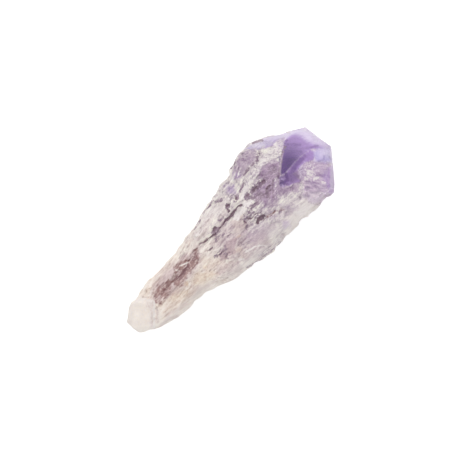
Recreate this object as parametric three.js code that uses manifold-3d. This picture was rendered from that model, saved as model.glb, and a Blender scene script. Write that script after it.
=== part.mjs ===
// A raw amethyst point: one quartz crystal with a clean faceted tip and a rough, ridged body
// that tapers to a broken root. It lies on its underside.
// Millimetres. x runs from the root to the tip, y to the left and z up.
import * as THREE from "three";
import { ImprovedNoise } from "three/addons/math/ImprovedNoise.js";
import { mergeVertices } from "three/addons/utils/BufferGeometryUtils.js";
import Module from "manifold-3d";

const wasm = await Module();
wasm.setup();

const radians = THREE.MathUtils.degToRad;
const smoothstep = THREE.MathUtils.smoothstep;

// How far the body reaches to the left and to the right at each x, before its relief.
const SIDE_REACH = [
  [-0.4, 3.2, 0.2],
  [1.6, 3.9, 2.4],
  [3.5, 5.1, 3.0],
  [6, 6.2, 4.4],
  [8.5, 5.3, 5.0],
  [11, 5.5, 5.7],
  [14, 7.0, 6.1],
  [17, 6.7, 6.2],
  [20, 6.8, 6.9],
  [23, 6.8, 6.8],
  [26, 6.9, 7.6],
  [29, 7.4, 8.3],
  [32, 8.0, 10.1],
  [35, 8.3, 10.9],
  [39, 9.4, 10.9],
  [43, 10.2, 11.1],
  [46, 10.0, 11.7],
  [49, 10.0, 11.9],
  [52, 10.1, 12.1],
  [55, 11.6, 12.1],
  [58, 13.2, 11.6],
  [61, 15.0, 12.9],
  [64, 15.1, 13.2],
  [68, 14.3, 13.0],
  [72, 14.4, 13.8],
  [77, 13.0, 12.0],
  [81, 9.0, 8.0],
];

// The heights of its underside and its top at each x. The underside is cut off flat at z = 0
// afterwards.
const HEIGHTS = [
  [-0.4, 2.4, 5.6],
  [1.6, 0.5, 8.0],
  [4, -0.6, 10.0],
  [8.5, -1.1, 11.0],
  [14, -1.2, 11.6],
  [20, -1.2, 12.2],
  [26, -1.2, 13.3],
  [32, -1.2, 14.9],
  [39, -1.2, 16.8],
  [46, -1.2, 18.8],
  [53, -1.2, 20.8],
  [60, -1.2, 22.7],
  [66, -1.2, 24.2],
  [72, -1.2, 23.0],
  [77, -1.0, 18.0],
  [81, 0.6, 13.0],
];

// The six sides of a section, by the angle that each faces about the length: 0 is up and
// a positive angle is to the left. The corners between them are soft.
const SIDES_FACE = [44, 104, 164, -136, -76, -16].map(radians);
const CORNER_SOFTNESS = 0.06;

// The grid that the rough body is built on.
const ROW_STEP = 1.3;
const COLUMNS = 66;
const LEAST_RADIUS = 0.2;

// Quartz's own angles: the c axis turned from the length, and how far a face's normal leans
// away from that axis. The left side of the prism split off a little askew.
const C_AXIS_TURN = radians(8.9);
const TIP_FACE_LEAN = radians(51.8);
const CHIP_LEAN = radians(5);
const PRISM_LEAN = radians(90);
const SPLIT_PRISM_LEAN = radians(88.2);

// The tip's faces: the way each faces about the c axis, its lean and a point on it. The
// chip is a small break across the very end, and the last two are what shows of the prism.
const TIP = [79.0, 0.4, 9.8];
const RIGHT_CORNER = [79.5, -3.4, 8.7];
const CRYSTAL_FACES = [
  { faces: 44, lean: TIP_FACE_LEAN, through: TIP },
  { faces: -16, lean: TIP_FACE_LEAN, through: TIP },
  { faces: -76, lean: TIP_FACE_LEAN, through: RIGHT_CORNER },
  { faces: -136, lean: TIP_FACE_LEAN, through: [79.5, -3.4, 7.4] },
  { faces: 164, lean: TIP_FACE_LEAN, through: [78.1, 6.4, 3.0] },
  { faces: 104, lean: TIP_FACE_LEAN, through: [78.1, 6.4, 4.0] },
  { faces: 0, lean: CHIP_LEAN, through: TIP },
  { faces: -76, lean: PRISM_LEAN, through: [69.5, -13.4, 8.0] },
  { faces: 104, lean: SPLIT_PRISM_LEAN, through: [62, 14.9, 10.0] },
];

// Clean faces show within this distance of a point on the tip, and are worn rough beyond it.
const CLEAN = { middle: [75, -4], radius: 11.2, fade: 2.2, ragged: 2.0, proud: 1.0, worn: 1.5 };

// A sunken growth terrace in the lower corner of the top right face: its inner corner in
// plan, the ways in from its two steps, and its depth.
const TERRACE = { corner: [71.1, -1.1, 0], inwards: [[0.7, -0.71, 0], [-0.71, -0.7, 0]], depth: 0.35 };

// Flat breaks at the root: a point on each, and the way it faces.
const BREAKS = [
  { through: [10.3, 2, 10.6], towards: [-0.57, 0.04, 0.82] },
  { through: [0.4, 1.6, 4.0], towards: [-0.97, -0.1, -0.2] },
];

// Ledges: x of the steep side, the way it faces, its half width and length, its rise, and
// whether the steep side looks to the root (1) or to the tip (-1).
const LEDGES = [
  [44.6, 76, 26, 14, 0.7, 1],
  [47.8, 70, 24, 12, 0.7, 1],
  [52.8, 78, 28, 16, 0.9, 1],
  [33.0, 60, 20, 12, 0.5, 1],
  [18.2, -96, 30, 7, 0.9, -1],
  [46.5, -92, 30, 12, 0.8, -1],
  [55.5, -84, 26, 9, 0.7, 1],
  [50.5, -98, 24, 6, 0.6, -1],
  [37.0, -60, 22, 14, 0.6, 1],
  [28.0, -40, 18, 10, 0.5, 1],
  [57.5, -30, 22, 10, 0.6, 1],
  [24.0, 30, 16, 12, 0.5, 1],
];
const SMALL_LEDGES = { count: 50, rise: [0.2, 0.55], length: [4, 11], halfWidth: [9, 20] };

// Open seams along the upper side, as points in plan, and the bright rib beside the long one.
const SEAMS = [
  { path: [[10, 2.8], [22, 2.2], [32, 3.5], [46, 3.3], [60, 3.6]], depth: 1.3, width: 1.3 },
  { path: [[44, -2.6], [49, -3.3], [58, -7.4]], depth: 0.9, width: 1.1 },
  { path: [[46, 7.4], [53, 8.4], [60, 10.2]], depth: 0.7, width: 1.2 },
];
const RIBS = [{ path: [[45, 4.9], [53, 5.8], [61, 7.1], [69, 8.6]], rise: 0.9, width: 1.5 }];

const noise = new ImprovedNoise();

// A repeatable random number from 0 to 1 for each number.
function chance(n) {
  const wave = Math.sin(n * 127.1 + 311.7) * 43758.5453;
  return wave - Math.floor(wave);
}

const between = ([low, high], share) => low + (high - low) * share;

// Smooth curves through rows of numbers that start with x.
const through = (rows) =>
  new THREE.CubicInterpolant(
    rows.map((row) => row[0]),
    rows.flatMap((row) => row.slice(1)),
    rows[0].length - 1,
    [],
  );

// One section's outline, with its width and its height both running from -1 to 1.
function sectionOutline() {
  const outline = Array.from({ length: COLUMNS }, (_, column) => {
    const angle = (column / COLUMNS) * 2 * Math.PI - Math.PI;
    const sum = SIDES_FACE.map((side) => Math.cos(angle - side))
      .filter((facing) => facing > 0.05)
      .reduce((total, facing) => total + Math.exp(-1 / facing / CORNER_SOFTNESS), 0);
    const radius = -Math.log(sum) * CORNER_SOFTNESS;
    return new THREE.Vector2(radius * Math.sin(angle), radius * Math.cos(angle));
  });
  const box = new THREE.Box2().setFromPoints(outline);
  const [middle, size] = [box.getCenter(new THREE.Vector2()), box.getSize(new THREE.Vector2())];
  return outline.map((p) => p.sub(middle).divide(size).multiplyScalar(2));
}

// The way a crystal face looks: its angle about the c axis, and its lean from that axis.
function crystalNormal(faces, lean) {
  const axis = new THREE.Vector3(Math.cos(C_AXIS_TURN), Math.sin(C_AXIS_TURN), 0);
  const out = new THREE.Vector3(-axis.y, axis.x, 0).multiplyScalar(Math.sin(radians(faces)));
  out.z += Math.cos(radians(faces));
  return axis.multiplyScalar(Math.cos(lean)).addScaledVector(out, Math.sin(lean));
}

const grownPlanes = CRYSTAL_FACES.filter((face) => face.lean > CHIP_LEAN).map((face) => {
  const on = new THREE.Vector3(...face.through);
  return new THREE.Plane().setFromNormalAndCoplanarPoint(crystalNormal(face.faces, face.lean), on);
});

// How far a line from a point inside runs before it meets a crystal face.
function reachToFaces(from, out) {
  const reaches = grownPlanes.map((plane) => {
    const facing = plane.normal.dot(out);
    return facing > 0.01 ? -plane.distanceToPoint(from) / facing : Infinity;
  });
  return Math.max(Math.min(...reaches), 0);
}

// Long ridges and furrows that run with the length and fan out on the right flank.
function strands(point) {
  const turn = -0.28 * smoothstep(-point.y, 0, 9);
  const along = point.x * Math.cos(turn) + point.y * Math.sin(turn);
  const across = -point.x * Math.sin(turn) + point.y * Math.cos(turn);
  const wide = 1 - 2 * Math.abs(noise.noise(along * 0.045, across * 0.21, point.z * 0.21));
  const fine = 1 - 2 * Math.abs(noise.noise(along * 0.09 + 9, across * 0.5, point.z * 0.5));
  return 0.6 * wide + 0.32 * fine - 0.4;
}

// Flat broken patches: each cell of a stretched random grid leans its own way.
const CELL = [7.5, 2.9, 2.9];
function patches(point) {
  const p = [point.x / CELL[0], point.y / CELL[1], point.z / CELL[2]];
  const home = p.map(Math.floor);
  const cells = [];
  for (const i of [-1, 0, 1])
    for (const j of [-1, 0, 1])
      for (const k of [-1, 0, 1]) {
        const cell = [home[0] + i, home[1] + j, home[2] + k];
        const seed = cell[0] * 3 + cell[1] * 57 + cell[2] * 113;
        const away = new THREE.Vector3(...p.map((v, n) => v - cell[n] - chance(seed + n * 0.37)));
        cells.push({ seed, away });
      }
  const { seed, away } = cells.reduce((a, b) => (b.away.lengthSq() < a.away.lengthSq() ? b : a));
  const lean = new THREE.Vector3(...[7.3, 8.3, 9.3].map((n) => chance(seed + n) - 0.5));
  return away.dot(lean) * 1.3 + (chance(seed + 3.1) - 0.5) * 0.5;
}

const smallLedges = Array.from({ length: SMALL_LEDGES.count }, (_, n) => [
  between([4, 66], chance(n + 0.1)),
  between([-180, 180], chance(n + 0.2)),
  between(SMALL_LEDGES.halfWidth, chance(n + 0.3)),
  between(SMALL_LEDGES.length, chance(n + 0.4)),
  between(SMALL_LEDGES.rise, chance(n + 0.5)),
  chance(n + 0.6) < 0.7 ? 1 : -1,
]);

function ledges(x, angle) {
  let rise = 0;
  for (const [start, faces, halfWidth, length, height, way] of [...LEDGES, ...smallLedges]) {
    const off = Math.abs(((THREE.MathUtils.radToDeg(angle) - faces + 540) % 360) - 180);
    const past = (x - start) * way;
    if (off > halfWidth || past < -0.5 || past > length) continue;
    const edge = 1 - smoothstep(off, halfWidth * 0.7, halfWidth);
    rise += height * edge * smoothstep(past, -0.5, 0.5) * (1 - smoothstep(past, 1.5, length));
  }
  return rise;
}

// How strongly a line across the upper side, a seam or a rib, is felt at a point.
const withCurve = (line) => ({ ...line, curve: through(line.path) });
function onLine({ path, width, curve }, point, angle) {
  if (Math.abs(angle) > Math.PI / 2) return 0;
  const [start, end] = [path[0][0], path.at(-1)[0]];
  const x = THREE.MathUtils.clamp(point.x, start, end);
  const off = Math.abs(point.y - curve.evaluate(x)[0]);
  const ends = smoothstep(point.x, start - 2, start + 3) * (1 - smoothstep(point.x, end - 3, end + 2));
  return ends * (1 - smoothstep(off, 0, width));
}
const seams = SEAMS.map(withCurve);
const ribs = RIBS.map(withCurve);

// All the relief of the rough surface at a point, as a height along the outward line.
function relief(point, angle, radius) {
  const grown = 0.35 + 0.65 * smoothstep(radius, 2.5, 9);
  const rough = grown * (strands(point) + patches(point)) + ledges(point.x, angle);
  const cut = seams.reduce((sum, seam) => sum + seam.depth * onLine(seam, point, angle), 0);
  const raised = ribs.reduce((sum, rib) => sum + rib.rise * onLine(rib, point, angle), 0);
  return rough - cut + raised;
}

// How far a face has worn rough at a point: 0 near the tip and 1 on the shoulders.
function wear(point) {
  const off = Math.hypot(point.x - CLEAN.middle[0], point.y - CLEAN.middle[1]);
  const ragged = CLEAN.ragged * noise.noise(point.x * 0.25, point.y * 0.25, point.z * 0.25);
  return smoothstep(off + ragged, CLEAN.radius, CLEAN.radius + CLEAN.fade);
}

// The rough body as a closed grid: rings of columns along x, with a middle point at each end.
function roughBody() {
  const reachCurve = through(SIDE_REACH);
  const heightCurve = through(HEIGHTS);
  const outline = sectionOutline();
  const [first, last] = [HEIGHTS[0][0], HEIGHTS.at(-1)[0]];
  const rows = Math.round((last - first) / ROW_STEP);
  const positions = [];
  const middles = [];
  for (let row = 0; row <= rows; row++) {
    const x = between([first, last], row / rows);
    const [left, right] = reachCurve.evaluate(x);
    const [under, top] = heightCurve.evaluate(x);
    const middle = new THREE.Vector3(x, (left - right) / 2, (top + under) / 2);
    middles.push(middle);
    for (const corner of outline) {
      const out = new THREE.Vector3(0, (corner.x * (left + right)) / 2, (corner.y * (top - under)) / 2);
      const radius = out.length();
      out.normalize();
      const reach = Math.min(radius, reachToFaces(middle, out));
      const point = middle.clone().addScaledVector(out, reach);
      const height = relief(point, Math.atan2(out.y, out.z), radius);
      const faced = reachToFaces(middle, out) + CLEAN.proud + wear(point) * (height - CLEAN.worn);
      const grown = Math.max(Math.min(radius + height, faced), LEAST_RADIUS);
      positions.push(...middle.clone().addScaledVector(out, grown).toArray());
    }
  }
  const ends = positions.length / 3;
  for (const middle of [middles[0], middles.at(-1)]) positions.push(...middle.toArray());
  const index = [];
  for (let column = 0; column < COLUMNS; column++) {
    const next = (column + 1) % COLUMNS;
    for (let row = 0; row < rows; row++) {
      const [a, b] = [row * COLUMNS + column, row * COLUMNS + next];
      const [c, d] = [a + COLUMNS, b + COLUMNS];
      index.push(a, d, b, a, c, d);
    }
    index.push(ends, column, next);
    index.push(ends + 1, rows * COLUMNS + next, rows * COLUMNS + column);
  }
  const geometry = new THREE.BufferGeometry();
  geometry.setAttribute("position", new THREE.Float32BufferAttribute(positions, 3));
  geometry.setIndex(index);
  return geometry;
}

function solidOf(geometry) {
  const bare = geometry.clone();
  bare.deleteAttribute("normal");
  bare.deleteAttribute("uv");
  const merged = mergeVertices(bare, 1e-4);
  const mesh = new wasm.Mesh({
    numProp: 3,
    vertProperties: Float32Array.from(merged.attributes.position.array),
    triVerts: Uint32Array.from(merged.index.array),
  });
  return new wasm.Manifold(mesh);
}

function geometryOf(solid) {
  const { vertProperties, triVerts } = solid.getMesh();
  const geometry = new THREE.BufferGeometry();
  geometry.setAttribute("position", new THREE.BufferAttribute(vertProperties, 3));
  geometry.setIndex(new THREE.BufferAttribute(triVerts, 1));
  geometry.computeVertexNormals();
  return geometry;
}

// Everything on the far side of a plane, as a block that can be cut away.
const BLOCK = 200;
function beyond(point, facing) {
  const block = new THREE.BoxGeometry(BLOCK, BLOCK, BLOCK).translate(0, 0, BLOCK / 2);
  block.applyQuaternion(new THREE.Quaternion().setFromUnitVectors(new THREE.Vector3(0, 0, 1), facing));
  return solidOf(block.translate(...point));
}

function terrace() {
  const face = crystalNormal(-16, TIP_FACE_LEAN);
  const floor = new THREE.Vector3(...TIP).addScaledVector(face, -TERRACE.depth);
  return TERRACE.inwards
    .map((way) => beyond(TERRACE.corner, new THREE.Vector3(...way).normalize()))
    .reduce((sunken, side) => sunken.intersect(side), beyond(floor.toArray(), face));
}

function crystal() {
  let solid = solidOf(roughBody());
  for (const { faces, lean, through: point } of CRYSTAL_FACES)
    solid = solid.subtract(beyond(point, crystalNormal(faces, lean)));
  solid = solid.subtract(terrace());
  for (const { through: point, towards } of BREAKS)
    solid = solid.subtract(beyond(point, new THREE.Vector3(...towards).normalize()));
  solid = solid.subtract(beyond([0, 0, 0], new THREE.Vector3(0, 0, -1)));
  return geometryOf(solid);
}

const amethyst = new THREE.MeshStandardMaterial({ color: 0xc9bcc6, roughness: 0.45, metalness: 0 });
const point = new THREE.Mesh(crystal(), amethyst);
point.name = "amethyst_point";

// The part's origin is the middle of its footprint, on the surface it lies on.
point.geometry.computeBoundingBox();
const middle = point.geometry.boundingBox.getCenter(new THREE.Vector3());
point.position.set(-middle.x, -middle.y, -point.geometry.boundingBox.min.z);

const part = new THREE.Group();
part.add(point);
export default part;
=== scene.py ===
import math
import bmesh
import bpy
import numpy as np
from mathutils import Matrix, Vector, noise
from mathutils.bvhtree import BVHTree
from mathutils.kdtree import KDTree


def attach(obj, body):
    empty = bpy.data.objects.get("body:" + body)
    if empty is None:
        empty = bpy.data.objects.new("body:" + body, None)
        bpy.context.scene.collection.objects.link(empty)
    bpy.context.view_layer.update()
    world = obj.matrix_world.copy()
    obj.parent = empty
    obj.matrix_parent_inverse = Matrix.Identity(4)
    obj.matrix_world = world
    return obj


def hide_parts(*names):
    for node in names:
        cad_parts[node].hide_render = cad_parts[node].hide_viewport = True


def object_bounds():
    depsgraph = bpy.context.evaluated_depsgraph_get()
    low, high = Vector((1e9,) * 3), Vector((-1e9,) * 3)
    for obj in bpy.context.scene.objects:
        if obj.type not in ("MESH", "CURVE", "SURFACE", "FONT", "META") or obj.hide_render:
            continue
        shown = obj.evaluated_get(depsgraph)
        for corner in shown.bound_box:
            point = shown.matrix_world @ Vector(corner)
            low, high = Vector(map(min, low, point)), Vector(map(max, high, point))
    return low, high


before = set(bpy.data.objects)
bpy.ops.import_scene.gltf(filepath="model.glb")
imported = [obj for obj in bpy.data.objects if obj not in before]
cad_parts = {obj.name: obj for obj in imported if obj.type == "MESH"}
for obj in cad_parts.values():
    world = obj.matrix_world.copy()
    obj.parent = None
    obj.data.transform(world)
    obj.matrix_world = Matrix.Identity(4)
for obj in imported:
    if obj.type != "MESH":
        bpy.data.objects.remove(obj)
cad_low, cad_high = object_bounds()


# The crystal's surface
# One quartz crystal, broken from its root. It grew clean flat faces at the tip, and its
# body is the rough side along which it split from its neighbours in a bed of points.

# Places are in mm: along from the root, to the left of that line, and up from the table.
# Outlines and lines are in the photo's pixels, as its camera sees the crystal from above.
MM = 0.001
ROOT = np.array((-40.044, -0.552, 0.0))
LENGTH = 80
LENGTH_IN_PHOTO = 273
PIXEL = LENGTH / LENGTH_IN_PHOTO
PHOTO_WIDTH = 460
PHOTO_MIDDLE = PHOTO_WIDTH / 2
MIDDLE_PLACE = np.array((41.43, 0.515))
TURN = math.radians(45.28)
RIGHTWARDS = np.array((math.cos(TURN), -math.sin(TURN)))
UPWARDS = np.array((math.sin(TURN), math.cos(TURN)))
LENS = 200
SENSOR = 36
VIEW_LEVEL = 9.0
VIEW_DISTANCE = PHOTO_WIDTH * PIXEL * LENS / SENSOR
SQUARE = 0.27
MERGE = 0.01
CRISP_ANGLE = math.radians(24)
EDGE_STEP = 0.04
EDGE_REACH = 0.15
MIDWAY = 0.5
DRAWN_IN = 0.5
SMOOTHING_ROUNDS = 3
KNOB_END = 9.0
KNOB_FADE = 4.0
KNOB_ROUNDS = 24
CLEAN_OUTLINE = [
    (286, 138), (283, 150), (280, 158), (278.5, 168), (280, 177), (281, 186), (292, 184),
    (302, 182), (307, 192), (308, 199), (314, 198), (322, 194), (331, 189), (342, 186), (342, 140),
    (304, 118),
]
CLEAN_FADE = 3
FACE_OUTLINE = [
    (285.5, 140.5), (283, 149.5), (280, 158.5), (278.5, 168), (280, 176), (281.5, 184.5),
    (292.5, 183), (301.5, 180.5), (302, 169), (302, 159.5), (300, 147.5),
]
FACE_SPOTS = ((72.0, 4.0), (72.5, 0.0))
FACE_REACH = 1.6
ABOVE_ALL = 60.0
LEDGE_LINE = [(306, 161.5), (331, 161.5)]
LEDGE_REACH = 3
LEDGE_ROUNDS = 16
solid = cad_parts["amethyst_point"]


def ease(value):
    """Runs smoothly from 0 to 1 as the value does, and stays there beyond."""
    clipped = np.clip(value, 0, 1)
    return clipped * clipped * (3 - 2 * clipped)


def within(gap, fade):
    """1 inside a soft rim and 0 outside it, and half on the rim's middle."""
    return ease(MIDWAY - gap / fade)


def laid_out(mesh):
    """The mesh's points in the crystal's own mm."""
    flat = np.empty(len(mesh.vertices) * 3, np.float32)
    mesh.vertices.foreach_get("co", flat)
    return flat.reshape(-1, 3).astype(float) / MM - ROOT


def put_back(mesh, points):
    """Moves the mesh's points to these places in the crystal's own mm."""
    mesh.vertices.foreach_set("co", ((points + ROOT) * MM).astype(np.float32).ravel())
    mesh.update()


def facing(mesh):
    """The direction that the surface faces at each point."""
    flat = np.empty(len(mesh.vertices) * 3, np.float32)
    mesh.vertex_normals.foreach_get("vector", flat)
    return flat.reshape(-1, 3).astype(float)


def in_photo(points):
    """Where the photo shows each point, in its pixels to the right and down."""
    flat = points[:, :2] - MIDDLE_PLACE
    scale = VIEW_DISTANCE / (VIEW_DISTANCE + VIEW_LEVEL - points[:, 2]) / PIXEL
    across = PHOTO_MIDDLE + flat @ RIGHTWARDS * scale
    down = PHOTO_MIDDLE - flat @ UPWARDS * scale
    return np.stack((across, down), axis=1)


def gap_to_line(places, corners):
    """How far each place is from a line through these corners."""
    corners = np.array(corners)
    gap = np.full(len(places), np.inf)
    for start, end in zip(corners[:-1], corners[1:]):
        along = end - start
        share = np.clip((places - start) @ along / (along @ along), 0, 1)
        gap = np.minimum(gap, np.linalg.norm(places - start - share[:, None] * along, axis=1))
    return gap


def gap_to_outline(places, corners):
    """How far each place lies outside an outline, less than nothing where it lies inside."""
    closed = np.vstack((corners, corners[:1]))
    inside = np.zeros(len(places), bool)
    for start, end in zip(closed[:-1], closed[1:]):
        if start[1] == end[1]:
            continue
        level = (start[1] > places[:, 1]) != (end[1] > places[:, 1])
        crossing = start[0] + (places[:, 1] - start[1]) * (end[0] - start[0]) / (end[1] - start[1])
        inside ^= level & (places[:, 0] < crossing)
    gap = gap_to_line(places, closed)
    return np.where(inside, -gap, gap)


def even_mesh(source):
    """A closed mesh of even squares, laid over the source."""
    holder = bpy.data.objects.new("even_squares", source)
    bpy.context.scene.collection.objects.link(holder)
    squares = holder.modifiers.new("squares", "REMESH")
    squares.mode = "VOXEL"
    squares.voxel_size = SQUARE * MM
    graph = bpy.context.evaluated_depsgraph_get()
    mesh = bpy.data.meshes.new_from_object(holder.evaluated_get(graph))
    bpy.data.objects.remove(holder)
    return mesh


def crisp_edges(shape):
    """Points along every sharp edge of the solid, ready to be searched."""
    found = []
    for edge in shape.edges:
        if edge.calc_face_angle(0) < CRISP_ANGLE:
            continue
        start, end = (np.array(corner.co) / MM - ROOT for corner in edge.verts)
        steps = max(1, int(np.linalg.norm(end - start) / EDGE_STEP))
        found += [start + (end - start) * step / steps for step in range(steps + 1)]
    tree = KDTree(len(found))
    for number, place in enumerate(found):
        tree.insert(Vector(place), number)
    tree.balance()
    return tree


def clean_share(points):
    """1 on the tip's flat faces and 0 on the rough body."""
    return within(gap_to_outline(in_photo(points), CLEAN_OUTLINE), CLEAN_FADE)


def smoothed(mesh, points, share, rounds):
    """The points drawn towards their neighbours, as far as each point's share says."""
    flat = np.empty(len(mesh.edges) * 2, np.int32)
    mesh.edges.foreach_get("vertices", flat)
    first, second = flat.reshape(-1, 2).T
    count = np.bincount(flat, minlength=len(points))[:, None]
    moving = (share[first] > 0) | (share[second] > 0)
    first, second = first[moving], second[moving]
    for _ in range(rounds):
        total = np.zeros_like(points)
        np.add.at(total, first, points[second])
        np.add.at(total, second, points[first])
        points = points + share[:, None] * DRAWN_IN * (total / count - points)
    return points


def brought_to_faces(points, outward):
    """The points near the tip's two upper faces, brought onto the faces' own planes."""
    heights = []
    for spot in FACE_SPOTS:
        start = (np.array((*spot, ABOVE_ALL)) + ROOT) * MM
        place, slope = faces_tree.ray_cast(Vector(start), Vector((0, 0, -1)))[:2]
        place = np.array(place) / MM - ROOT
        fall = (points[:, :2] - place[:2]) @ np.array(slope)[:2] / slope.z
        heights.append(place[2] - fall)
    gap = np.minimum(*heights) - points[:, 2]
    share = within(gap_to_outline(in_photo(points), FACE_OUTLINE), CLEAN_FADE)
    near = (gap < FACE_REACH) & (outward[:, 2] > 0)
    return points + np.outer(share * near * gap, (0, 0, 1))


rough_solid = solid.data.copy()
shape = bmesh.new()
shape.from_mesh(rough_solid)
bmesh.ops.remove_doubles(shape, verts=shape.verts, dist=MERGE * MM)
shape.to_mesh(rough_solid)
faces_tree = BVHTree.FromBMesh(shape)
edges_tree = crisp_edges(shape)
shape.free()

# Each point of the even mesh goes to a crisp edge close by, or else to the nearest face.
mesh = even_mesh(rough_solid)
mesh.name = "amethyst_crystal"
points = laid_out(mesh)
for number, place in enumerate(points):
    near, _, gap = edges_tree.find(Vector(place))
    if gap < EDGE_REACH:
        points[number] = near
    else:
        on_face = faces_tree.find_nearest(Vector((place + ROOT) * MM))[0]
        points[number] = np.array(on_face) / MM - ROOT

# The body's edges, the root's knob and a ledge on the right tip face are worn a little.
points = smoothed(mesh, points, 1 - clean_share(points), SMOOTHING_ROUNDS)
points = smoothed(mesh, points, ease((KNOB_END - points[:, 0]) / KNOB_FADE), KNOB_ROUNDS)
put_back(mesh, points)
points = brought_to_faces(points, facing(mesh))
near_ledge = ease(1 - gap_to_line(in_photo(points), LEDGE_LINE) / LEDGE_REACH)
points = smoothed(mesh, points, near_ledge, LEDGE_ROUNDS)
put_back(mesh, points)
outward = facing(mesh)


# The marks on the crystal
# Clear violet quartz in the tip, milky quartz in the body, smoky windows and cracks between the milky
# ribs, and a brown stain near the root. Dark lines along parts of the outline are painted shade.
UPPER_EDGE = [
    (262, 139), (276, 135), (290, 131.5), (303, 127.5), (303, 131), (292, 135), (287, 138),
    (270, 141),
]

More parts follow.
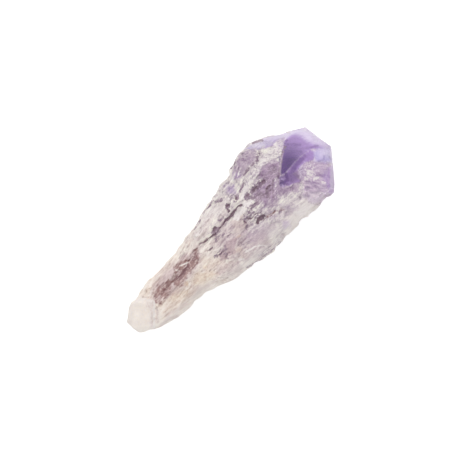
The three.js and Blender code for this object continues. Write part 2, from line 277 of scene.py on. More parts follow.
# A zone has an outline, the width of its soft rim and the share of it that is filled.
# A line has its reach and that share. Frosted is a dull face, and quiet a smoother body.
ZONES = {
    "violet": {
        "whole tip": ([(262, 139), (275, 135), (290, 131), (304, 127), (332, 146), (335, 192),
                       (327, 197), (320, 204), (309, 203), (303, 190), (303, 160), (290, 170),
                       (283, 150)], 5, 0.3),
        "left face": ([(284, 141), (289, 135), (297, 131), (306, 131), (318, 138), (328, 146),
                       (324, 149), (312, 149), (300, 157), (290, 167), (283, 175), (281, 173),
                       (281.5, 160)], 3, 1.0),
        "under the ridge": ([(283, 177), (289, 176), (298, 170), (304, 163), (314, 160), (315, 152),
                             (310, 149), (300, 157), (290, 167)], 3, 1.0),
        "foot of the face": ([(279, 178), (285, 174), (293, 174), (301, 181), (291, 185),
                              (281, 187)], 3, 0.8),
        "right edge": ([(325, 168), (331, 165), (336, 163), (336, 193), (329, 194), (326, 186),
                        (321, 176)], 6, 0.65),
        "right face": ([(316, 170), (326, 164), (330, 192), (322, 194)], 6, 0.35),
        "foot of the ridge": ([(296, 172), (303, 163), (309, 165), (308, 178), (300, 182)], 5, 0.35),
        "left shoulder": ([(226, 186), (234, 185), (236, 193), (227, 194)], 4, 0.42),
        "right flank": ([(282, 222), (289, 220), (290, 227), (283, 229)], 5, 0.35),
        "window rim": ([(234, 172), (240, 171), (240, 178), (234, 179)], 3, 0.35),
    },
    "pale": {
        "right face": ([(319, 149), (331, 148), (331, 156), (320, 157)], 6, 0.6),
        # Painted light: the top edge is a bright fringe along the tip's steep top faces.
        "top edge": ([(292, 132), (304, 125), (318, 133), (332, 145), (328, 149), (316, 145),
                      (306, 140.5), (301, 136)], 7, 0.72),
        "upper edge": (UPPER_EDGE, 4, 0.6),
    },
    "blue": {
        "right face": ([(314, 151), (322, 148), (330, 148), (332, 162), (322, 162), (315, 161)],
                       5, 0.95),
        "upper window": ([(244, 150), (252, 143), (262, 140), (276, 137), (277, 141), (266, 147),
                          (257, 149)], 4, 0.55),
        "upper edge": (UPPER_EDGE, 3, 0.5),
    },
    "deep": {
        "right flank": ([(329.5, 170), (338, 170), (338, 186), (330, 187)], 4, 0.12),
        "foot of the face": ([(283, 179), (288, 173), (296, 171), (299, 178), (292, 183),
                              (284, 185)], 6, 0.5),
    },
    "cream": {
        "right edge": ([(284, 228), (296, 206), (306, 199), (322, 206), (306, 226), (284, 246)],
                       9, 0.95),
        "foot of the right face": ([(308, 193), (320, 191), (329, 193), (318, 204), (309, 203)],
                                   4, 0.6),
        "left rim": ([(228, 181), (230, 171), (234, 165), (235, 176), (231, 184)], 3, 0.6),
        "left band": ([(183, 256), (192, 238), (202, 214), (212, 204), (222, 210), (210, 224),
                       (196, 250)], 7, 0.4),
        "beside the stain": ([(200, 256), (210, 246), (220, 248), (212, 264), (200, 272)], 7, 0.45),
        "right root": ([(190, 300), (198, 284), (210, 279), (222, 284), (206, 300)], 8, 0.9),
        "knob": ([(126, 306), (138, 297), (153, 300), (162, 314), (166, 332), (136, 336),
                  (125, 322)], 6, 0.5),
        "left of the fissure": ([(217, 203), (226, 197), (232, 200), (224, 214), (218, 210)], 5, 0.5),
        "below the hook": ([(237, 212), (242, 208), (246, 212), (240, 222), (234, 221)], 4, 0.6),
        "flank": ([(228, 270), (244, 262), (262, 256), (262, 264), (240, 278), (228, 284)], 8, 0.5),
        "beside the spot": ([(262, 222), (276, 222), (284, 232), (270, 240), (262, 232)], 7, 0.3),
        "below the stain": ([(194, 292), (204, 282), (212, 286), (204, 298), (186, 304)], 7, 0.8),
        "knob end": ([(122, 320), (128, 300), (142, 296), (150, 330), (136, 336)], 6, 0.9),
        "root edge": ([(154, 336), (164, 320), (184, 308), (196, 298), (212, 286), (224, 284),
                       (204, 308), (168, 334)], 7, 1.0),
        "right of the stain": ([(207, 258), (210, 248), (221, 246), (221, 251), (214, 260)], 5, 0.3),
    },
    "plum": {
        "left window": ([(235, 178), (234, 170), (237, 161), (243, 152), (250, 147), (256, 148),
                         (257, 157), (254, 164), (248, 168), (244, 175), (238, 179)], 4, 0.7),
        "window middle": ([(236, 165), (242, 157), (254, 155), (255, 161), (249, 167),
                           (240, 170)], 4, 0.8),
        "beside the face": ([(260, 168), (266, 164), (273, 161), (280, 161), (281, 168),
                             (281, 176), (272, 180), (262, 182), (258, 174)], 5, 1.0),
        "left of the foot": ([(262, 174), (279, 178), (282, 196), (268, 194)], 5, 0.9),
        "foot": ([(283, 179), (289, 172), (298, 169), (301, 181), (298, 184), (284, 186)], 3, 0.9),
        "grey corner": ([(318, 144), (329, 145), (330, 149), (320, 148)], 3, 0.5),
        "under the face": ([(272, 184), (284, 185), (298, 184), (300, 191), (286, 194), (273, 195)],
                           5, 0.85),
        "beside the streak": ([(262, 210), (274, 208), (275, 219), (264, 221)], 6, 0.4),
        "below the blocks": ([(262, 199), (278, 197), (279, 206), (263, 208)], 5, 0.7),
        "right shoulder": ([(279, 205), (292, 202), (298, 208), (284, 216), (276, 212)], 7, 0.42),
        "mottled window": ([(252, 194), (262, 184), (276, 178), (277, 200), (262, 202), (254, 200)],
                           4, 1.0),
        "right flank": ([(242, 232), (258, 226), (272, 224), (268, 234), (256, 244), (244, 244)],
                        10, 0.4),
        "centre": ([(222, 230), (240, 217), (254, 224), (252, 238), (240, 246), (222, 244)],
                   8, 0.12),
    },
    "smoke_and_edge_shade": {
        "window foot": ([(245, 200.5), (243.5, 197), (245, 194), (249, 192), (250, 195),
                         (248.5, 199)], 2, 1.0),
        "window": ([(249, 195), (249.5, 190), (254, 185), (259, 181), (262, 181), (261, 186),
                    (257.5, 190), (253, 193)], 2, 1.0),
        "window head": ([(260, 184), (260, 180), (264, 178.5), (267, 181), (263.5, 185)], 2, 1.0),
        "upper block": ([(264.5, 190), (266, 187), (270, 184), (271, 187), (269, 190.5)], 2, 1.0),
        "lower block": ([(266.5, 190), (270.5, 189), (271, 199), (267, 199)], 2, 0.85),
        "right block": ([(271.5, 179), (274, 178.5), (274.5, 198), (272, 198)], 2, 0.75),
        "window floor": ([(247, 198), (254, 194), (262, 189), (265, 198), (258, 203), (249, 203)],
                         4, 0.7),
        "beside the face": ([(263, 173), (272, 166), (280, 163), (280, 178), (270, 184), (263, 180)],
                            5, 0.44),
        "small patch": ([(252, 204), (256, 202), (261, 200), (258, 204), (254, 207.5),
                         (252, 207)], 2, 0.9),
        "large patch": ([(246, 208), (252, 207), (256, 212), (262, 213), (266, 216), (262, 220),
                         (252, 220), (248, 225), (243, 223), (240, 220), (243, 216), (247, 213)],
                        4, 0.62),
        "hook": ([(226, 204), (230, 203.5), (230, 207), (228.5, 208), (229.5, 211), (227, 211),
                  (225, 207)], 2, 0.9),
        "below the floor": ([(245, 205), (254, 203), (257, 208), (248, 211)], 3, 0.8),
        "left mottle": ([(228, 196), (236, 193), (240, 195), (238, 201), (230, 202)], 3, 0.5),
        "pit": ([(212, 229), (215, 226), (219.5, 227.5), (218, 231), (216, 234), (211.5, 234)],
                2, 1.0),
        "beside the pit": ([(216, 232), (221, 230), (226, 234), (220, 240), (216, 238)], 4, 0.45),
        "window top": ([(256, 150), (262, 149), (261, 157), (256, 162)], 3, 0.45),
        "lower patch": ([(224, 251), (229, 252), (228, 258), (224, 257)], 3, 0.5),
    },
    "brown": {
        "stain": ([(197, 249), (198.5, 256), (198, 262), (193, 268), (190, 273), (186, 278),
                   (183, 283), (180, 287), (176, 288), (173, 283), (171, 289), (168, 295),
                   (165, 299), (160, 297), (157, 300), (153, 297), (155, 290), (157, 284),
                   (161, 288), (164, 285), (167, 279), (171, 281), (174, 277), (178, 273),
                   (182, 269), (187, 266), (190, 262), (193, 257), (194, 251)], 4, 1.0),
        "branch": ([(172, 267), (176, 264), (180, 262), (184, 260.5), (190, 259), (193, 256),
                    (191, 261), (186, 264), (180, 266), (175, 269)], 2, 1.0),
        "between": ([(174, 268), (186, 261), (190, 264), (179, 273), (173, 276)], 3, 0.9),
        "right streak": ([(266, 215), (270, 213), (275, 210), (275, 213), (270, 216),
                          (266, 219)], 2, 0.75),
    },
    "maroon": {
        "top": ([(195, 251), (198, 254), (197, 260), (193, 262), (192, 257)], 3, 0.8),
        "middle": ([(191, 263), (189, 270), (184, 277), (179, 281), (174, 279), (179, 273),
                    (185, 267)], 3, 1.0),
        "foot": ([(165, 281), (169, 282), (168, 288), (161, 292), (157, 287)], 3, 0.35),
    },
    "mauve_and_ledge_shade": {
        "around the stain": ([(198, 247), (201, 262), (190, 277), (180, 291), (160, 302), (152, 302),
                              (153, 284), (165, 271), (180, 260)], 8, 0.75),
        "flank": ([(221, 246), (240, 236), (264, 230), (272, 245), (244, 256), (222, 260)], 8, 0.5),
        "centre": ([(214, 236), (222, 227), (240, 217), (250, 224), (246, 238), (238, 246),
                    (212, 247)], 8, 0.45),
        "low": ([(218, 256), (226, 240), (238, 236), (236, 252), (222, 262)], 5, 0.9),
        "low flank": ([(216, 266), (238, 261), (242, 272), (218, 277)], 7, 0.4),
        "left root": ([(148, 286), (164, 266), (174, 260), (172, 272), (156, 286)], 7, 0.35),
        "beside the pit": ([(217, 228), (222, 219), (229, 222), (224, 232)], 4, 0.5),
        "above the stain": ([(179, 260), (182, 255), (188, 253), (193, 253), (193, 257),
                             (184, 261)], 3, 0.8),
        "in the stain": ([(173, 277), (173, 269), (179, 268), (181, 271)], 3, 0.6),
        "below the stain": ([(150, 288), (155, 284), (158, 292), (156, 300), (150, 298)], 4, 0.5),
        "knob": ([(146, 302), (153, 301), (154, 310), (147, 308)], 3, 0.4),
        "right of the stain": ([(190, 284), (206, 287), (198, 296), (184, 302)], 5, 0.3),
    },
    "ochre": {
        "bright": ([(184, 281), (188, 281), (188, 285), (184, 285)], 2, 1.0),
        "beside the stain": ([(172, 293), (176, 286), (182, 285), (180, 290), (174, 298),
                              (168, 300)], 4, 0.6),
        "right": ([(196, 274), (212, 270), (218, 274), (204, 284), (192, 286)], 8, 0.48),
        "low": ([(172, 296), (184, 290), (196, 288), (190, 298), (172, 302)], 7, 0.35),
        "small": ([(203, 265), (207, 265), (207, 269), (203, 269)], 2, 0.6),
        "flank": ([(233, 249), (241, 248), (241, 252), (233, 253)], 3, 0.6),
        "middle": ([(240, 222), (246, 221), (246, 228), (241, 230)], 4, 0.35),
        "knob": ([(128, 306), (146, 302), (150, 328), (132, 330)], 9, 0.16),
        "centre": ([(200, 260), (218, 254), (230, 256), (222, 266), (206, 272)], 10, 0.25),
        "below the fissure": ([(232, 222), (242, 214), (246, 224), (236, 236)], 6, 0.3),
    },
    "milk": {
        "rib": ([(240, 206), (241, 196), (243, 187), (249, 179), (252, 172), (258, 164),
                 (264, 156), (270, 149), (275, 141), (279, 141), (283, 146), (280, 152),
                 (275, 158), (268, 162), (262, 168), (258, 176), (252, 184), (247, 191),
                 (244, 196), (243, 203)], 3, 0.5),
        "foot of the rib": ([(240, 207), (241, 196), (243, 188), (247, 183), (248, 188),
                             (244, 195), (243, 203)], 2, 1.0),
        "above the fissure": ([(233, 215), (237, 209), (243, 206), (246, 209), (242, 214),
                               (238, 221), (234, 220)], 2, 0.9),
        "below the window": ([(243, 204), (246, 201), (251, 199), (253, 201), (249, 206),
                              (245, 208)], 2, 0.85),
        "strip": ([(274, 178), (277, 178), (277, 200), (275, 200)], 2, 0.4),
        "window rim": ([(237.5, 170), (240.5, 170), (241, 175), (238, 176)], 2, 0.6),
        "flank lens": ([(250, 247), (262, 245), (264, 250), (252, 253)], 4, 0.4),
        "left band": ([(192, 238), (200, 216), (206, 208), (222, 206), (222, 214), (210, 220),
                       (198, 240)], 5, 0.5),
        "left ledge": ([(212, 198), (222, 184), (228, 181), (226, 190), (216, 201)], 4, 0.4),
        "face foot": ([(304, 162), (316, 163), (318, 181), (304, 182)], 5, 0.35),
        "knob": ([(126, 306), (138, 297), (153, 300), (153, 330), (136, 334), (125, 322)], 4, 0.45),
    },
    "marble": {
        "right face": ([(304, 163), (312, 161), (330, 163), (336, 191), (330, 199), (320, 208),
                        (310, 205), (304, 198), (303, 180)], 3, 1.0),
    },
    "frosted": {
        "right flank": ([(329, 150), (340, 150), (340, 196), (329, 196)], 2, 1.0),
    },
    "quiet": {
        "knob": ([(120, 306), (136, 292), (153, 300), (153, 330), (136, 340), (120, 322)], 4, 1.0),
        "right root": ([(156, 308), (190, 298), (196, 292), (200, 300), (158, 334), (154, 330)],
                       7, 0.5),
        "right flank": ([(255, 228), (290, 212), (300, 215), (262, 262), (240, 272)], 10, 0.6),
        "upper edge": ([(248, 136), (304, 118), (304, 130), (288, 136), (262, 142),
                        (252, 145)], 4, 1.0),
    },
}
LINES = {
    "deep": {
        "band under the ridge": ([(303, 157), (297, 162), (291, 171), (287, 178)], 3, 0.4),
        "left edge of the face": ([(287, 140), (284.5, 145)], 1, 0.55),
        "left edge lower": ([(279.5, 157), (280, 161)], 1.2, 0.6),
        "upper growth line": ([(286, 144.5), (300, 145)], 1.6, 0.5),
        "lower growth line": ([(288, 151), (301, 151.5)], 1.4, 0.62),
        "under the ridge": ([(302, 159), (297, 164), (293, 170), (289.5, 177)], 2.4, 0.55),
        "foot": ([(279, 178), (285, 176), (291, 173)], 1.5, 0.6),
        "upper foot spot": ([(286.5, 174), (287.5, 180)], 2, 0.8),
        "lower foot spot": ([(281, 184), (286, 181)], 2, 0.75),
        "squiggle": ([(324, 156), (323.5, 160), (319.5, 161)], 0.9, 0.3),
        "short growth line": ([(306, 148.5), (318, 145.5)], 1, 0.3),
        "right corner": ([(329.5, 157), (331, 159)], 1, 0.25),
        "upper spot": ([(306.5, 187.5), (308.5, 188)], 1.5, 0.4),
        "lower spot": ([(304.5, 196), (308.5, 196)], 1.5, 0.4),
        "long streak": ([(311, 183), (316, 187), (320, 190)], 1.4, 0.3),
        "short streak": ([(306, 181.5), (318, 183.5)], 1.6, 0.22),
        "level streak": ([(318, 175), (329, 176.5)], 1.8, 0.2),
        "low streak": ([(322, 186), (333, 186)], 2.4, 0.16),
        "lowest streak": ([(310, 192), (316, 193), (319, 191)], 1.3, 0.28),
    },
    "violet": {
        "rib crossing": ([(266, 147), (273, 144), (276, 139)], 1.5, 0.6),
    },
    # Painted shade: the left edge, window edge, upper edge, right edge, right ledge and face foot
    # lines darken the outline's steep edges. The other lines are smoky quartz.
    "smoke_and_edge_shade": {
        "left edge": ([(195, 229), (200, 220), (206, 209), (211, 204)], 0.8, 0.5),
        "left ledge": ([(212, 203), (218, 200.5), (225, 199)], 1.4, 0.7),
        "window edge": ([(231.5, 168.5), (235, 163)], 0.8, 0.8),
        "upper edge": ([(252, 143), (262, 140.3)], 1, 1.0),
        "right edge": ([(247, 267), (256, 262), (266, 255), (275, 248), (281, 242)], 1, 0.56),
        "right ledge": ([(258, 257), (264, 252), (270, 246)], 1.2, 0.4),
        "face foot": ([(309, 202), (316, 204.5), (321, 203), (327, 197)], 0.9, 0.4),
        "window dot": ([(258, 156), (257, 161)], 1.2, 0.9),
        "middle dot": ([(253.5, 163), (251, 167)], 1, 0.9),
        "lower dots": ([(249, 168), (244, 174.5)], 1.2, 0.8),
        "centre": ([(219, 220), (223, 218), (226, 219.5)], 1.5, 0.7),
        "low": ([(216, 257), (220, 254), (225, 248)], 2.6, 0.55),
        "patch tail": ([(247, 221), (246.5, 229)], 1.2, 0.6),
        "pit tail": ([(216, 234), (216, 241)], 1.4, 0.6),
        "beside the fissure": ([(242, 206), (234, 214), (226, 221), (218, 231)], 2.2, 0.28),
        "beside the rib": ([(237, 199), (240, 190), (244, 183)], 1.2, 0.7),
        "left edge of the face": ([(285, 146), (282.5, 153), (281, 160), (279.5, 173)], 1.3, 0.62),
    },
    "crack": {
        "fissure": ([(241, 205), (238, 208), (234.5, 212), (232, 215)], 1.3, 1.0),
        "thin fissure": ([(232, 215), (226.5, 219.5), (222, 224.5)], 0.9, 0.9),
        "fissure end": ([(222, 224.5), (217.5, 231)], 0.6, 0.7),
        "pit rim": ([(213.5, 230), (216, 228.5)], 1.2, 0.8),
        "below the pit": ([(215, 234), (210.5, 237.5)], 0.8, 0.9),
        "left end": ([(207, 240), (203, 242.5), (200, 243.5), (199.5, 245.5)], 0.8, 0.6),
        "dark spot": ([(257.5, 222.5), (258.5, 220), (261.5, 218)], 1.7, 1.0),
        "hook foot": ([(226.5, 209), (228, 211)], 1, 0.9),
        "hook head": ([(226, 205.5), (229.5, 204)], 0.8, 0.8),
        "lower streak": ([(216.5, 257), (220, 255), (223.5, 251.5)], 0.8, 0.5),
        "short streak": ([(207.5, 251.2), (210, 250), (212.5, 247.5)], 0.6, 0.7),
        "patch foot": ([(248, 219), (253, 218.5)], 1, 0.9),
        "patch middle": ([(254, 215), (258, 214)], 0.9, 0.6),
        "patch right": ([(262, 217), (264, 215.5)], 1, 0.8),
        "patch left": ([(244, 222), (246, 223)], 1, 0.8),
        "left dot": ([(235.5, 199), (236.5, 198)], 0.8, 0.8),
        "window foot": ([(247, 196), (249, 194)], 1, 0.6),
        "window": ([(253, 190), (256, 188)], 1.4, 0.6),
        "window head": ([(262, 182.5), (264, 181.5)], 1.4, 0.7),
        "block": ([(267, 189), (270, 186)], 1, 0.8),
        "root dot": ([(156.3, 308), (156.8, 310)], 1.2, 0.45),
    },
    "brown": {
        "stain end": ([(157, 301), (160, 303)], 2.4, 0.65),
        "right streak": ([(264, 218), (270, 214.5), (275, 211.5), (284, 209)], 1.6, 0.42),
        "root streak": ([(143, 296.5), (148, 297)], 1, 0.45),
        "left end": ([(207, 239), (203, 243)], 1.7, 0.5),
    },
    "ochre": {
        "thread": ([(240, 235.5), (237, 237.5), (232, 241)], 0.8, 1.0),
    },
    # Painted shade: the knob, beside the knob, low ledge, upper ledge and right ledge lines darken
    # the root's steps and the knob's edge.
    "mauve_and_ledge_shade": {
        "left streak": ([(197, 238), (205, 226), (212, 215)], 3, 0.45),
        "knob": ([(151.5, 310), (151.5, 326)], 1.2, 0.4),
        "beside the knob": ([(157.5, 311), (157.5, 322)], 1.2, 0.3),
        "low ledge": ([(161, 326), (167, 319.5), (177, 316)], 1.4, 0.35),
        "upper ledge": ([(165, 316), (178, 309), (186, 303)], 2, 0.3),
        "right ledge": ([(186, 296), (198, 291), (208, 286)], 2.4, 0.2),
    },
    "milk": {
        "knob": ([(154.3, 302), (154.3, 328)], 1.2, 0.9),
        "rim": ([(135, 301), (146, 299.5), (153, 301)], 1.2, 0.7),
        "flank lens": ([(246, 252), (254, 247), (262, 245), (266, 246)], 0.9, 0.9),
        "low fleck": ([(239.5, 260), (243.5, 259)], 0.9, 1.0),
        "upper face fleck": ([(307, 170.5), (313, 172)], 1, 1.0),
        "second face fleck": ([(308, 173.5), (311.5, 175)], 0.9, 0.9),
        "middle face fleck": ([(314, 179), (318, 178)], 1, 1.0),
        "right face fleck": ([(322, 182), (325, 183)], 1, 0.8),
        "left face fleck": ([(304, 177), (307, 179)], 0.9, 0.7),
        "ledge fleck": ([(226, 199.5), (228.5, 199)], 1, 1.0),
        "stain fleck": ([(180, 266), (188, 262.5)], 0.9, 0.8),
        "stain dot": ([(176, 270), (179, 271)], 1, 0.8),
    },
}
SHADE_OUTLINE = [
    (284.5, 141), (297, 134), (305, 130), (320, 140), (326, 147), (311, 148.5), (300, 156.8),
    (295, 161.5), (290, 167.3), (285, 172.8), (281, 175.5), (280.5, 171), (281.3, 163),
    (282.8, 156), (284, 150),
]
SHADE_LINE = [(283.5, 169), (288, 162)]
SHADE_FADE = 1.2
SHADE_CORE = 1
SHADE_REACH = 28
MARK_NAMES = (
    "violet", "deep", "pale", "blue", "plum", "mauve_and_ledge_shade", "ochre", "cream", "brown", "maroon",
    "smoke_and_edge_shade", "crack", "milk", "marble", "frosted", "quiet",
)
WANDER = {"size": (2.0, 0.6, 0.6), "seed": 5, "far": 2.7, "full_from": 3.4}
CLEAN_CALM = 0.7
UNDER_TIP = {"violet": 0.6}
UNDERSIDE_SHIFT = 2.5
UNDERSIDE_STRETCH = 0.95
SIDE_FADE = 0.3
SEED_STEP = 37.1


def soft_noise(points, size, seed):
    """Smooth noise about 0, in grains of this many mm along, across and up."""
    moved = points / size + seed * SEED_STEP
    return np.array([noise.noise(place) for place in moved])


def filled(places, wander, name):
    """How strongly a kind of mark shows at each place in the photo, from 0 to 1."""
    share = np.zeros(len(places))
    for corners, fade, strength in ZONES.get(name, {}).values():
        gap = gap_to_outline(places, corners) + wander * min(fade / WANDER["full_from"], 1)
        share = np.maximum(share, strength * within(gap, fade))
    for corners, reach, strength in LINES.get(name, {}).values():
        gap = gap_to_line(places, corners) + wander * min(reach / WANDER["full_from"], 1)
        share = np.maximum(share, strength * within(gap - reach, reach))
    return share


def shaded(places):
    """The left face's shade, which ends sharply at its edges and deepens towards its foot."""
    inside = within(gap_to_outline(places, SHADE_OUTLINE), SHADE_FADE)
    beyond = gap_to_line(places, SHADE_LINE) - SHADE_CORE
    return inside * ease(1 - beyond / SHADE_REACH)


# The photo shows only the top, so the underside has the body's marks mirrored and shifted.
above = ease(outward[:, 2] / SIDE_FADE + 1)
clean = clean_share(points)
wander = soft_noise(points, WANDER["size"], WANDER["seed"])
wander *= WANDER["far"] * (1 - CLEAN_CALM * clean)
from_above = in_photo(points)
from_below = in_photo(points * (UNDERSIDE_STRETCH, -1, 1) + (UNDERSIDE_SHIFT, 0, 0))
marks = {}
for name in MARK_NAMES:
    upper = filled(from_above, wander, name)
    if name == "deep":
        upper = np.maximum(upper, shaded(from_above))
    lower = filled(from_below, wander, name) * (1 - clean) + UNDER_TIP.get(name, 0) * clean
    marks[name] = above * upper + (1 - above) * lower


# The crystal's relief
# The body splintered into long thin blades that follow its growth and fan out towards
# the tip. Ledges, pits and dark seams lie between them, and the tip's faces stay flat.
BLADES = {"size": (9.0, 1.7, 1.7), "seed": 1, "deep": 0.4, "tilt": 0.25}
CHIPS = {"size": (2.4, 1.0, 1.0), "seed": 11, "deep": 0.2, "tilt": 0.16}
FIBRES = {"size": (9.0, 1.0, 1.0), "seed": 2, "deep": 0.28}
PROUD = 0.38
CALM = {"size": (9.0, 3.0, 3.0), "seed": 8, "least": 0.3, "contrast": 2.2}
QUIET_CALM = 0.85
SMOKE_AND_EDGE_SHADE_SUNK = 0.2
CRACK_SUNK = 0.5
MILK_PROUD = 0.12
VALLEY_ROUNDS = 8
VALLEY_DEPTH = 0.16
FAN_NARROW = 0.55
FAN_LENGTH = 95.0
MIDDLE_HEIGHT = 8.0
FLOOR_FADE = 0.6
FOLD_ANGLE = math.radians(40)
CELLS_AROUND = (3, 3, 3)
CHANCE_TURNS = np.array((12.9898, 78.233, 37.719))
CHANCE_STEP = 4.1414
CHANCE_SPREAD = 43758.5453
LEVEL_DRAW = 3
LEAN_DRAW = 4


def chance(cells, seed):
    """A number from 0 to 1 for each whole-numbered cell, the same on every run."""
    mixed = np.sin(cells @ CHANCE_TURNS + seed * CHANCE_STEP) * CHANCE_SPREAD
    return mixed - np.floor(mixed)


def blades(points, size, seed):
    """Height of a surface split into blades, each with a level and a tilt of its own."""
    moved = points / size
    base = np.floor(moved)
    nearest = np.full(len(points), np.inf)
    level = np.zeros(len(points))
    slant = np.zeros(len(points))
    for corner in np.ndindex(CELLS_AROUND):
        cell = base + corner - 1
        jitter = np.stack([chance(cell, seed + draw) for draw in range(3)], axis=1)
        away = moved - cell - jitter
        gap = np.linalg.norm(away, axis=1)
        closer = gap < nearest
        nearest[closer] = gap[closer]
        level[closer] = chance(cell, seed + LEVEL_DRAW)[closer]
        lean = chance(cell, seed + LEAN_DRAW) * 2 - 1
        slant[closer] = (away[:, 1] * lean + away[:, 2] * (1 - abs(lean)))[closer]
    return level, slant


fan = FAN_NARROW + points[:, :1] / FAN_LENGTH
grown = np.hstack((points[:, :1], (points[:, 1:] - (0, MIDDLE_HEIGHT)) / fan))
stir = CALM["contrast"] * soft_noise(grown, CALM["size"], CALM["seed"])
calm = CALM["least"] + (1 - CALM["least"]) * ease(stir + MIDWAY)
still = 1 - QUIET_CALM * marks["quiet"]
rough = (1 - clean) * ease(points[:, 2] / FLOOR_FADE) * still
level, slant = blades(grown, BLADES["size"], BLADES["seed"])
chip_level, chip_slant = blades(grown, CHIPS["size"], CHIPS["seed"])
fibre = np.abs(soft_noise(grown, FIBRES["size"], FIBRES["seed"]))
depth = calm * (
    BLADES["deep"] * level
    + BLADES["tilt"] * slant
    + CHIPS["deep"] * chip_level
    + CHIPS["tilt"] * chip_slant
    + FIBRES["deep"] * fibre
    - PROUD
)
# The smoky windows, the painted shade lines along the outline and the brown stain sink a little into
# the relief.
depth += SMOKE_AND_EDGE_SHADE_SUNK * np.maximum(marks["smoke_and_edge_shade"], marks["brown"])
depth += CRACK_SUNK * marks["crack"] - MILK_PROUD * marks["milk"]
points = points - outward * (rough * depth)[:, None]
low = np.array(cad_low) / MM - ROOT
high = np.array(cad_high) / MM - ROOT
points = np.clip(points, low, high)
put_back(mesh, points)

# What the material reads: where the valleys and flat faces are, the marks and the growth. The valleys
# are read to paint shade into them and light onto the crests.
lower = smoothed(mesh, points, np.ones(len(points)), VALLEY_ROUNDS) - points
marks["valley_shade"] = np.clip(np.sum(lower * facing(mesh), axis=1) / VALLEY_DEPTH, -1, 1)
marks["clean"] = clean_share(points)
for name, share in marks.items():
    carried = mesh.attributes.new(name, "FLOAT", "POINT")
    carried.data.foreach_set("value", share.astype(np.float32))
carried = mesh.attributes.new("grown", "FLOAT_VECTOR", "POINT")
carried.data.foreach_set("vector", grown.astype(np.float32).ravel())
mesh.shade_smooth()
mesh.set_sharp_from_angle(angle=FOLD_ANGLE)

crystal = bpy.data.objects.new("amethyst_crystal", mesh)
bpy.context.scene.collection.objects.link(crystal)


# The crystal's quartz
# Quartz that is clear and violet in the tip and clouded by fine cracks in the body. It is
# see-through, so the light from below comes through the thin edges and deepens the middle.

# Tones are as they look on a screen, from the darkest to the lightest part of the pattern.
BODY_TONES = (
    (0.2, (104, 88, 102)), (0.38, (176, 162, 172)), (0.5, (214, 206, 203)),
    (0.62, (240, 237, 224)), (0.8, (255, 254, 240)),
)
ROOT_TONES = (
    (0.2, (144, 118, 106)), (0.38, (206, 188, 174)), (0.5, (238, 228, 216)),
    (0.62, (248, 243, 234)), (0.8, (255, 254, 246)),
)
MARBLE_TONES = (
    (0.25, (146, 118, 150)), (0.42, (188, 168, 180)), (0.56, (217, 204, 205)),
    (0.75, (250, 244, 235)),
)
SOFT_DARK = 0.2
SOFT_PALE = 0.8
SOFT_TONES = {
    "cream": ((224, 214, 204), (255, 253, 245)),
    "ochre": ((200, 170, 136), (252, 238, 210)),
    # Mauve also paints the shade lines along the root's ledges and the knob's edge.
    "mauve_and_ledge_shade": ((140, 112, 120), (212, 190, 192)),
    "plum": ((110, 78, 116), (196, 172, 194)),
    "violet": ((140, 106, 166), (182, 152, 210)),
    "blue": ((172, 158, 210), (212, 204, 236)),
    # Pale also paints the light on the tip's top edge.
    "pale": ((216, 204, 232), (246, 242, 250)),
    "deep": ((46, 0, 82), (70, 0, 114)),
}
RAGGED_DARK = 0.25
RAGGED_PALE = 0.75
RAGGED_TONES = {
    "brown": ((108, 70, 71), (184, 150, 144), {"broken": -1.7, "least": 0.1, "most": 1.0}),
    "maroon": ((92, 54, 62), (150, 114, 114), {"broken": -1.7, "least": 0.1, "most": 1.0}),
    # These smoke tones also paint the shade lines along the outline's edges.
    "smoke_and_edge_shade": ((90, 66, 88), (180, 158, 172), {"broken": -1.2, "least": 0.26, "most": 0.7}),
    "crack": ((96, 70, 84), (158, 134, 144), {"broken": -0.7, "least": 0.26, "most": 0.7}),
    "milk": ((206, 198, 196), (250, 246, 240), {"broken": 0.9, "least": 0.3, "most": 0.66}),
}
FAINT = 0.02
CLEAR = 0.25
CREAM_FROM = 50.0
CREAM_TO = 14.0
CREAM_WANDER = 40.0
GRAIN_ROUGHNESS = 0.62
GRAINS = {
    "ribs": {"size": (5.0, 1.0, 1.0), "detail": 4.0, "shift": 3.0},
    "flecks": {"size": (1.3, 0.55, 0.55), "detail": 4.0, "shift": 11.0},
    "grit": {"size": (0.5, 0.38, 0.38), "detail": 3.0, "shift": 17.0},
    "cloud": {"size": (10.0, 3.5, 3.5), "detail": 2.0, "shift": 23.0},
    "streaks": {"size": (2.4, 0.4, 0.4), "detail": 3.0, "shift": 41.0},
    "marbling": {"size": (2.2, 0.5, 2.2), "detail": 4.0, "shift": 31.0, "turn": -TURN, "waves": 0.5},
}
SEAMS = {"size": (3.6, 0.7, 0.7), "shift": 5.0, "width": 0.07}
# The valleys' negative weight paints shade into the relief's hollows and light onto its crests.
TEXTURE = {"ribs": 0.54, "flecks": 0.5, "grit": 0.45, "valley_shade": -0.12, "seams": -0.08}
BODY_LIGHT = {"texture": 1.0, "cloud": 0.4}
MARBLE_LIGHT = {"marbling": 0.9, "grit": 0.3}
SPECKLE = {"streaks": 1.8, "flecks": 1.4, "grit": 1.4}
BUMPS = {"flecks": 1.0, "grit": 0.6}
QUIET_TEXTURE = 0.6
SPECKLED_SHARE = 0.5
FLAT_FACES = 0.97
BUMP_STRENGTH = 0.5
BUMP_DEPTH = 0.4
BODY_ROUGHNESS = 0.4
FACE_ROUGHNESS = 0.06
QUARTZ_BENDING = 1.544
QUARTZ_GLOSS = 0.25
SEE_THROUGH = 0.5
ABSORBS = (0.78, 0.68, 0.86, 1)
ABSORPTION = 28
SCREEN_WHITE = 255
SCREEN_LIFT = 0.055
SCREEN_CURVE = 2.4
COLOUR_SOCKETS = (6, 7, 2)
VALUE_SOCKETS = (2, 3, 0)


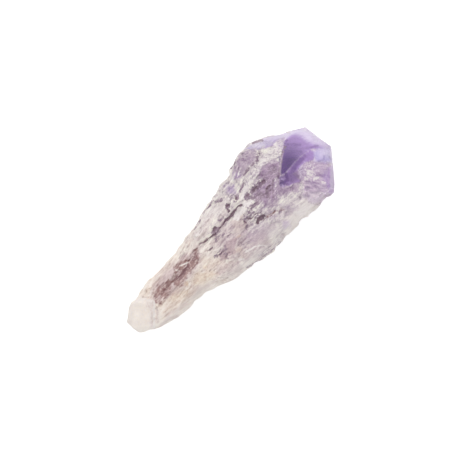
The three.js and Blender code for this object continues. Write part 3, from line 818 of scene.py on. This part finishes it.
def paint(colour):
    """A colour as it looks on a screen, turned into the amounts of light that it sends back."""
    lifted = [(part / SCREEN_WHITE + SCREEN_LIFT) / (1 + SCREEN_LIFT) for part in colour]
    return (*(part ** SCREEN_CURVE for part in lifted), 1.0)


def node(tree, kind, inputs, **settings):
    """A shader node with its settings made, and each input given a value or joined to a socket."""
    made = tree.nodes.new("ShaderNode" + kind)
    for name, value in settings.items():
        setattr(made, name, value)
    for socket, value in inputs.items():
        if isinstance(value, bpy.types.NodeSocket):
            tree.links.new(value, made.inputs[socket])
        else:
            made.inputs[socket].default_value = value
    return made


def mark(tree, name):
    """How strongly the mesh carries a kind of mark."""
    return node(tree, "Attribute", {}, attribute_name=name).outputs["Fac"]


def times(tree, first, second):
    """The product of two values."""
    return node(tree, "Math", {0: first, 1: second}, operation="MULTIPLY").outputs[0]


def plus(tree, first, second):
    """The sum of two values."""
    return node(tree, "Math", {0: first, 1: second}, operation="ADD").outputs[0]


def less(tree, share, value):
    """1 less this share of the value."""
    return plus(tree, 1.0, times(tree, value, -share))


def summed(tree, start, patterns, weights):
    """The start with each pattern that has a weight added to it, times that weight."""
    for name, weight in weights.items():
        start = plus(tree, start, times(tree, patterns[name], weight))
    return start


def between(tree, value, low, high):
    """0 where the value is below low, 1 above high, and a soft step between."""
    return node(
        tree, "MapRange", {"Value": value, "From Min": low, "From Max": high},
        interpolation_type="SMOOTHSTEP",
    ).outputs["Result"]


def mixed(tree, share, first, second):
    """The first colour where the share is 0, and the second where it is 1."""
    one, other, result = COLOUR_SOCKETS
    made = node(tree, "Mix", {0: share, one: first, other: second}, data_type="RGBA")
    return made.outputs[result]


def blended(tree, share, first, second):
    """The first value where the share is 0, and the second where it is 1."""
    one, other, result = VALUE_SOCKETS
    made = node(tree, "Mix", {0: share, one: first, other: second}, data_type="FLOAT")
    return made.outputs[result]


def toned(tree, value, tones):
    """Colours that follow the value from one tone to the next."""
    made = node(tree, "ValToRGB", {"Fac": value})
    stops = made.color_ramp.elements
    while len(stops) < len(tones):
        stops.new(MIDWAY)
    for stop, (position, colour) in zip(stops, tones):
        stop.position = position
        stop.color = paint(colour)
    return made.outputs["Color"]


def drawn_out(tree, place, size, shift, turn=0.0):
    """Places shrunk so that a grain of this many mm along, across and up is 1 each way."""
    return node(
        tree, "Mapping",
        {"Vector": place, "Scale": size, "Location": (shift, shift, 0), "Rotation": (0, 0, turn)},
        vector_type="TEXTURE",
    ).outputs["Vector"]


def grains(tree, place, size, detail, shift, turn=0.0, waves=0.0):
    """Noise about 0, its grains of this many mm along, across and up, straight or in waves."""
    found = node(
        tree, "TexNoise",
        {"Vector": drawn_out(tree, place, size, shift, turn), "Scale": 1.0, "Detail": detail,
         "Roughness": GRAIN_ROUGHNESS, "Distortion": waves},
    ).outputs["Fac"]
    return plus(tree, found, -MIDWAY)


def seams(tree, place, size, shift, width):
    """1 on thin lines between cells of this many mm, and 0 in the cells."""
    found = node(
        tree, "TexVoronoi", {"Vector": drawn_out(tree, place, size, shift), "Scale": 1.0},
        feature="DISTANCE_TO_EDGE",
    ).outputs["Distance"]
    return between(tree, found, width, 0.0)


material = bpy.data.materials.new("violet_quartz")
material.use_nodes = True
tree = material.node_tree
shader = tree.nodes["Principled BSDF"]
growth = node(tree, "Attribute", {}, attribute_name="grown").outputs["Vector"]
along = node(tree, "SeparateXYZ", {0: growth}).outputs["X"]
clean_faces = mark(tree, "clean")
marbled = mark(tree, "marble")

# The body's own pattern with painted shade in the relief's valleys and painted light on its crests,
# warmer towards the root, and the marbling of the right tip face.
patterns = {name: grains(tree, growth, **grain) for name, grain in GRAINS.items()}
patterns["seams"] = seams(tree, growth, **SEAMS)
patterns["valley_shade"] = mark(tree, "valley_shade")
texture = summed(tree, 0.0, patterns, TEXTURE)
patterns["texture"] = times(tree, texture, less(tree, QUIET_TEXTURE, mark(tree, "quiet")))
light = summed(tree, MIDWAY, patterns, BODY_LIGHT)
warmed = plus(tree, along, times(tree, patterns["cloud"], CREAM_WANDER))
near_root = between(tree, warmed, CREAM_FROM, CREAM_TO)
colour = mixed(tree, near_root, toned(tree, light, BODY_TONES), toned(tree, light, ROOT_TONES))
marble_light = summed(tree, MIDWAY, patterns, MARBLE_LIGHT)
colour = mixed(tree, marbled, colour, toned(tree, marble_light, MARBLE_TONES))

# Soft marks are even on the flat faces, and ragged ones break up into specks everywhere.
speckle = summed(tree, 0.0, patterns, SPECKLE)
flat = times(tree, clean_faces, less(tree, 1.0, marbled))
evenness = blended(tree, flat, less(tree, SPECKLED_SHARE, speckle), 1.0)
for name, (dark, pale) in SOFT_TONES.items():
    share = times(tree, mark(tree, name), evenness)
    tones = ((SOFT_DARK, dark), (SOFT_PALE, pale))
    colour = mixed(tree, share, colour, toned(tree, light, tones))
for name, (dark, pale, edge) in RAGGED_TONES.items():
    strength = mark(tree, name)
    torn = plus(tree, strength, times(tree, speckle, edge["broken"]))
    share = between(tree, torn, edge["least"], edge["most"])
    share = times(tree, share, between(tree, strength, FAINT, CLEAR))
    tones = ((RAGGED_DARK, dark), (RAGGED_PALE, pale))
    colour = mixed(tree, share, colour, toned(tree, light, tones))
tree.links.new(colour, shader.inputs["Base Color"])

# Flat faces are glossy, except where they are frosted, and the body is dull and gritty.
glossy = times(tree, clean_faces, less(tree, 1.0, mark(tree, "frosted")))
roughness = blended(tree, glossy, BODY_ROUGHNESS, FACE_ROUGHNESS)
tree.links.new(roughness, shader.inputs["Roughness"])
height = times(tree, summed(tree, 0.0, patterns, BUMPS), less(tree, FLAT_FACES, clean_faces))
bumps = node(
    tree, "Bump", {"Height": height, "Strength": BUMP_STRENGTH, "Distance": BUMP_DEPTH * MM}
)
tree.links.new(bumps.outputs["Normal"], shader.inputs["Normal"])
shader.inputs["IOR"].default_value = QUARTZ_BENDING
shader.inputs["Specular IOR Level"].default_value = QUARTZ_GLOSS
shader.inputs["Transmission Weight"].default_value = SEE_THROUGH
absorber = node(tree, "VolumeAbsorption", {"Color": ABSORBS, "Density": ABSORPTION})
tree.links.new(absorber.outputs["Volume"], tree.nodes["Material Output"].inputs["Volume"])
mesh.materials.clear()
mesh.materials.append(material)
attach(crystal, "root")
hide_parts("amethyst_point")


# The table and the light
# A white studio tent over a plain white light table that glows through the quartz from
# below. One large soft lamp stands above it on the left. Sizes here are in metres.
TABLE_HALF = 1.5
TABLE_TOP = -0.00005
TABLE_WHITE = (0.5, 0.5, 0.5, 1)
TABLE_ROUGHNESS = 0.9
TABLE_GLOW = 0.6
WHITE = (1, 1, 1, 1)
TENT_GLOW = 1.22
LAMP_PLACE = (0.1, 0.35, 0.7)
LAMP_WIDTH = 0.5
LAMP_POWER = 3
corners = [(-1, -1), (1, -1), (1, 1), (-1, 1)]
table = bpy.data.meshes.new("table_top")
table.from_pydata(
    [(x * TABLE_HALF, y * TABLE_HALF, TABLE_TOP) for x, y in corners], [], [(0, 1, 2, 3)]
)
table_top = bpy.data.objects.new("table_top", table)
bpy.context.scene.collection.objects.link(table_top)
lit_table = bpy.data.materials.new("lit_table")
lit_table.use_nodes = True
lit = lit_table.node_tree.nodes["Principled BSDF"]
lit.inputs["Base Color"].default_value = TABLE_WHITE
lit.inputs["Roughness"].default_value = TABLE_ROUGHNESS
lit.inputs["Emission Color"].default_value = WHITE
lit.inputs["Emission Strength"].default_value = TABLE_GLOW
table.materials.append(lit_table)

world = bpy.data.worlds.new("white_tent")
world.use_nodes = True
tent = world.node_tree.nodes["Background"]
tent.inputs["Color"].default_value = WHITE
tent.inputs["Strength"].default_value = TENT_GLOW
bpy.context.scene.world = world
lamp = bpy.data.lights.new("soft_lamp", "AREA")
lamp.shape = "DISK"
lamp.size = LAMP_WIDTH
lamp.energy = LAMP_POWER
lamp_holder = bpy.data.objects.new("soft_lamp", lamp)
bpy.context.scene.collection.objects.link(lamp_holder)
lamp_holder.location = LAMP_PLACE
lamp_holder.rotation_mode = "QUATERNION"
lamp_holder.rotation_quaternion = (-Vector(LAMP_PLACE)).to_track_quat("-Z", "Y")


# The camera
# It looks straight down on the crystal from far off, as the photo's own camera does, and
# is turned so that the tip points up to the right.
lens = bpy.data.cameras.new("camera")
lens.lens = LENS
lens.sensor_width = SENSOR
camera = bpy.data.objects.new("camera", lens)
bpy.context.scene.collection.objects.link(camera)
middle = MIDDLE_PLACE + ROOT[:2]
camera.location = (middle[0] * MM, middle[1] * MM, (VIEW_LEVEL + VIEW_DISTANCE) * MM)
camera.rotation_euler = (0, 0, -TURN)
bpy.context.scene.camera = camera
bpy.context.scene.view_settings.view_transform = "Standard"
